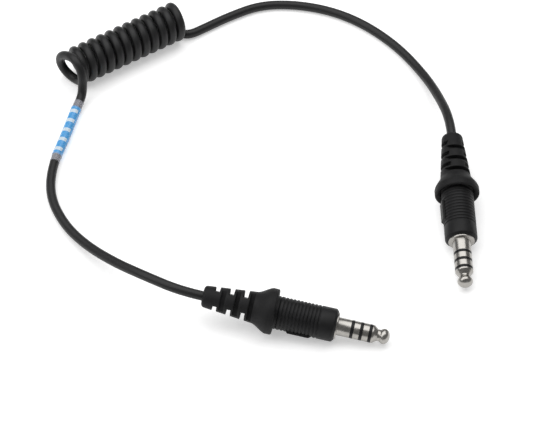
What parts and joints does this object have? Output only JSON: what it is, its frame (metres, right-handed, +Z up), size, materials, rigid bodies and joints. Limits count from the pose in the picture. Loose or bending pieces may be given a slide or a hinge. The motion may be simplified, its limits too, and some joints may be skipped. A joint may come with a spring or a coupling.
{
  "type": "coiled headset extension lead",
  "caption": "Curly black cord with a four-pole jack plug on each end, for extending an aviation headset's lead, with ribbed grips and slotted strain reliefs.",
  "frame": {"origin": "on the surface the lead lies on, under the middle of the box that holds the two plugs", "axes": "+Z up; +X to the right and +Y away from a viewer who looks at the lead with plug A's finger pointing right and plug B's finger pointing towards them"},
  "size_m": [0.1752, 0.1874, 0.0182],
  "materials": {
    "nickel_plate": "polished nickel plate, slightly warm",
    "contact_insulator": "smooth",
    "terminal_plastic": "moulded, satin",
    "lug_brass": "tinned in part, dull",
    "core_insulation": "extruded, satin",
    "clamp_steel": "plated",
    "cord_jacket": "smooth satin jacket",
    "grip_plastic": "moulded, satin",
    "boot_rubber": "moulded, matt",
    "band_print": "printed film with pale marks",
    "clear_sleeve": "clear heat-shrunk sleeve"
  },
  "bodies": {
    "plug_a_side": {"tip_contact_a": "nickel_plate", "tip_insulator_a": "contact_insulator", "front_ring_a": "nickel_plate", "ring_insulator_a": "contact_insulator", "rear_ring_a": "nickel_plate", "sleeve_insulator_a": "contact_insulator", "sleeve_contact_a": "nickel_plate", "terminal_block_a": "terminal_plastic", "solder_lugs_a": "lug_brass", "lug_rivets_a": "lug_brass", "core_wires_a": "core_insulation", "cord_clamp_a": "clamp_steel", "cord_end_a": "cord_jacket", "cord_a": "cord_jacket", "cord_coil": "cord_jacket", "printed_band": "band_print", "band_sleeve": "clear_sleeve"},
    "plug_b_side": {"tip_contact_b": "nickel_plate", "tip_insulator_b": "contact_insulator", "front_ring_b": "nickel_plate", "ring_insulator_b": "contact_insulator", "rear_ring_b": "nickel_plate", "sleeve_insulator_b": "contact_insulator", "sleeve_contact_b": "nickel_plate", "terminal_block_b": "terminal_plastic", "solder_lugs_b": "lug_brass", "lug_rivets_b": "lug_brass", "core_wires_b": "core_insulation", "cord_clamp_b": "clamp_steel", "cord_end_b": "cord_jacket", "cord_b": "cord_jacket"},
    "boot_a": {"strain_relief_boot_a": "boot_rubber"},
    "grip_a": {"grip_shell_a": "grip_plastic"},
    "boot_b": {"strain_relief_boot_b": "boot_rubber"},
    "grip_b": {"grip_shell_b": "grip_plastic"}
  },
  "joints": [
    {"name": "coil_stretch", "type": "slide", "parent": "plug_a_side", "child": "plug_b_side", "axis": [0.8387, 0.5446, 0], "range_m": [0, 0.1], "stiffness_N_per_m": 25, "deforming": ["cord_coil"]},
    {"name": "boot_a_back", "type": "slide", "parent": "plug_a_side", "child": "boot_a", "axis": [-0.9752, 0.1949, 0.1047], "range_m": [0, 0.004]},
    {"name": "grip_a_turn", "type": "hinge", "parent": "boot_a", "child": "grip_a", "pos_m": [-0.015, -0.04076, 0.00763], "axis": [0.9752, -0.1949, -0.1047], "range_deg": [0, 1440.1]},
    {"name": "boot_b_back", "type": "slide", "parent": "plug_b_side", "child": "boot_b", "axis": [-0.0329, 0.9929, 0.1142], "range_m": [0, 0.004]},
    {"name": "grip_b_turn", "type": "hinge", "parent": "boot_b", "child": "grip_b", "pos_m": [0.0467, 0.01091, 0.00772], "axis": [0.0329, -0.9929, -0.1142], "range_deg": [0, 1440.1]}
  ],
  "couplings": [
    {"joint": "grip_a_turn", "follows": "boot_a_back", "rad_per_m": 6283.2},
    {"joint": "grip_b_turn", "follows": "boot_b_back", "rad_per_m": 6283.2}
  ]
}
